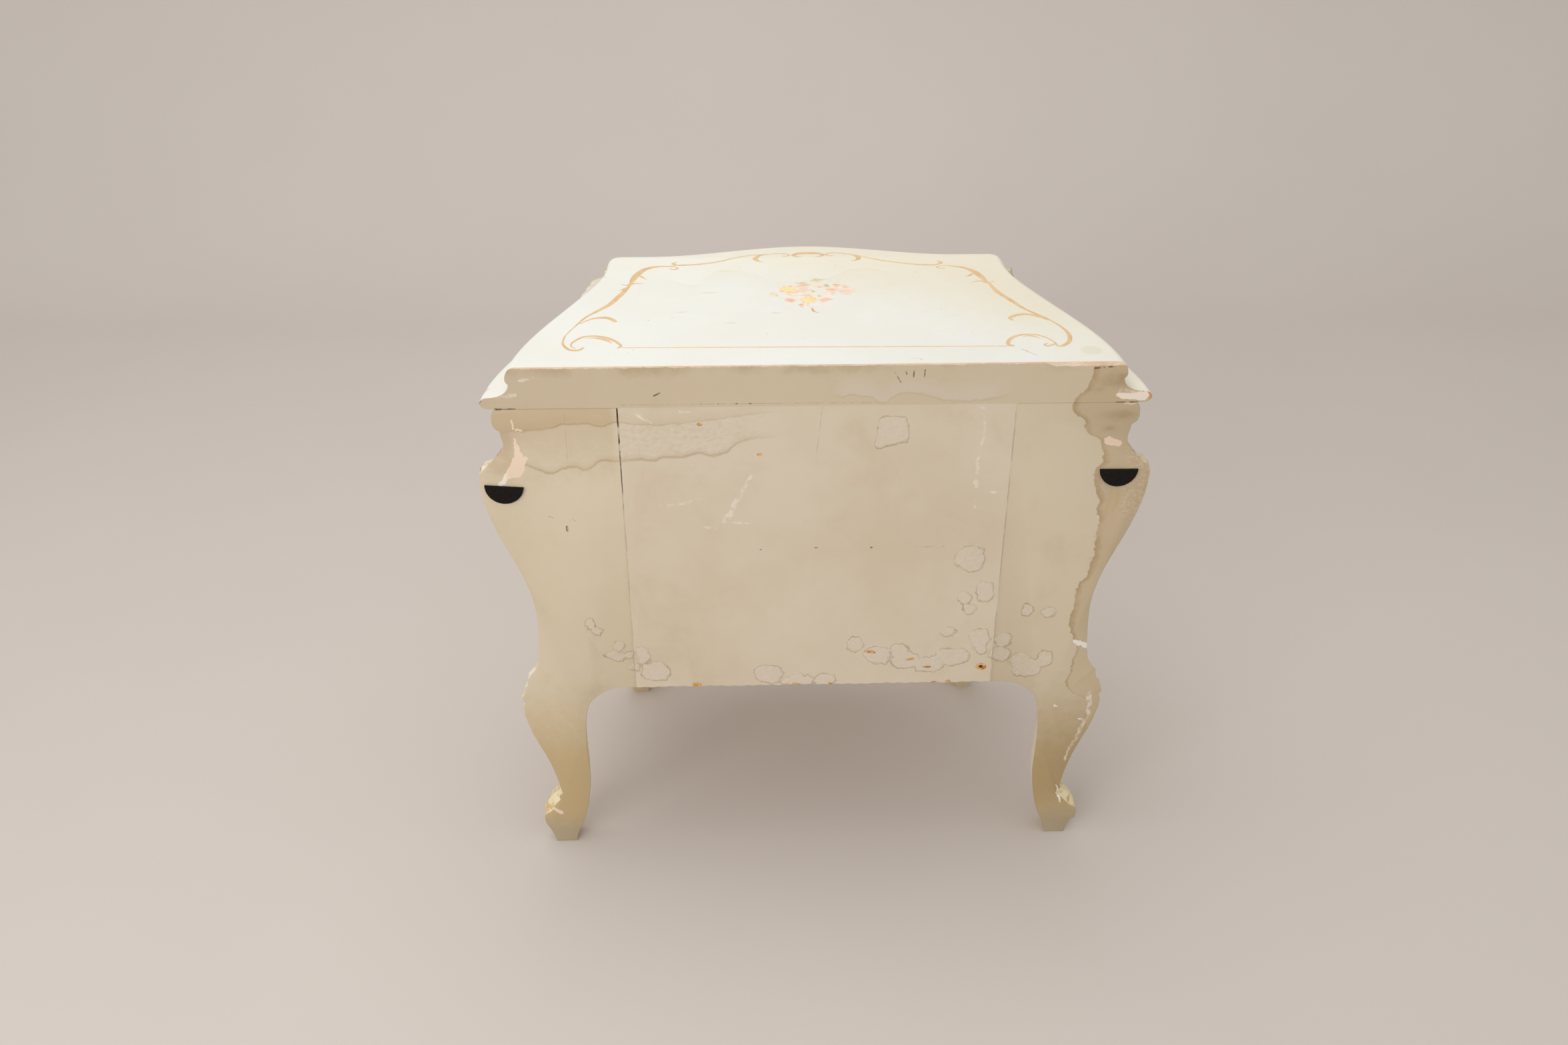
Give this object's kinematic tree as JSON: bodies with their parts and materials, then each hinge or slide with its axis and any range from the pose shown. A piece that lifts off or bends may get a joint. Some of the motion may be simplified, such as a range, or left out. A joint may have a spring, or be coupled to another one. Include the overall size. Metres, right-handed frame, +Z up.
{
  "type": "nightstand",
  "caption": "Bombe nightstand with a serpentine moulded top, cabriole legs, bowed sides and drawers that slide out on wooden runners by hinged bail pulls; its flat back is painted.",
  "frame": {"origin": "on the floor, under the middle of the object's box", "axes": "+Z up, drawers open towards -Y, flat back faces +Y, +X along the width to the piece's own left"},
  "size_m": [0.7054, 0.4038, 0.6365],
  "materials": {
    "cream_paint": "worn cream satin paint",
    "back_paint": "stained matte beige paint",
    "bare_wood": "unfinished",
    "brass": "antique",
    "steel": "plain",
    "black_felt": "matte"
  },
  "bodies": {
    "case": {"top_board": "cream_paint", "back_leg_left": "back_paint", "back_leg_right": "back_paint", "front_leg_left": "cream_paint", "front_leg_right": "cream_paint", "side_panel_left": "cream_paint", "side_panel_right": "cream_paint", "top_rail": "cream_paint", "mid_rail": "cream_paint", "apron": "cream_paint", "back_panel": "back_paint", "rear_lower_rail": "bare_wood", "rear_upper_rail": "bare_wood", "rear_top_rail": "bare_wood", "bottom_board": "bare_wood", "lower_left_runner": "bare_wood", "lower_left_guide": "bare_wood", "upper_left_runner": "bare_wood", "upper_left_guide": "bare_wood", "left_kicker": "bare_wood", "lower_right_runner": "bare_wood", "lower_right_guide": "bare_wood", "upper_right_runner": "bare_wood", "upper_right_guide": "bare_wood", "right_kicker": "bare_wood", "glue_block_left": "bare_wood", "glue_block_right": "bare_wood", "back_brad_1": "steel", "back_brad_2": "steel", "back_brad_3": "steel", "bumper_pad_left": "black_felt", "bumper_pad_right": "black_felt"},
    "lower_drawer": {"lower_drawer_front": "cream_paint", "lower_drawer_left_side": "bare_wood", "lower_drawer_right_side": "bare_wood", "lower_drawer_back": "bare_wood", "lower_drawer_bottom": "bare_wood", "lower_left_pull_plate": "brass", "lower_left_outer_nut": "brass", "lower_left_inner_nut": "brass", "lower_right_pull_plate": "brass", "lower_right_outer_nut": "brass", "lower_right_inner_nut": "brass"},
    "upper_drawer": {"upper_drawer_front": "cream_paint", "upper_drawer_left_side": "bare_wood", "upper_drawer_right_side": "bare_wood", "upper_drawer_back": "bare_wood", "upper_drawer_bottom": "bare_wood", "upper_left_pull_plate": "brass", "upper_left_outer_nut": "brass", "upper_left_inner_nut": "brass", "upper_right_pull_plate": "brass", "upper_right_outer_nut": "brass", "upper_right_inner_nut": "brass"},
    "lower_left_bail_body": {"lower_left_bail": "brass"},
    "lower_right_bail_body": {"lower_right_bail": "brass"},
    "upper_left_bail_body": {"upper_left_bail": "brass"},
    "upper_right_bail_body": {"upper_right_bail": "brass"}
  },
  "joints": [
    {"name": "lower_drawer_slide", "type": "slide", "parent": "case", "child": "lower_drawer", "axis": [0, -1, 0], "range_m": [0, 0.2]},
    {"name": "upper_drawer_slide", "type": "slide", "parent": "case", "child": "upper_drawer", "axis": [0, -1, 0], "range_m": [0, 0.2]},
    {"name": "lower_left_bail_hinge", "type": "hinge", "parent": "lower_drawer", "child": "lower_left_bail_body", "pos_m": [0.11582, -0.16114, 0.34594], "axis": [-0.971, -0.2391, 0], "range_deg": [-15, 95]},
    {"name": "lower_right_bail_hinge", "type": "hinge", "parent": "lower_drawer", "child": "lower_right_bail_body", "pos_m": [-0.11582, -0.16114, 0.34594], "axis": [-0.971, 0.2391, 0], "range_deg": [-15, 95]},
    {"name": "upper_left_bail_hinge", "type": "hinge", "parent": "upper_drawer", "child": "upper_left_bail_body", "pos_m": [0.11582, -0.1855, 0.49694], "axis": [-0.971, -0.2391, 0], "range_deg": [-15, 95]},
    {"name": "upper_right_bail_hinge", "type": "hinge", "parent": "upper_drawer", "child": "upper_right_bail_body", "pos_m": [-0.11582, -0.1855, 0.49694], "axis": [-0.971, 0.2391, 0], "range_deg": [-15, 95]}
  ]
}
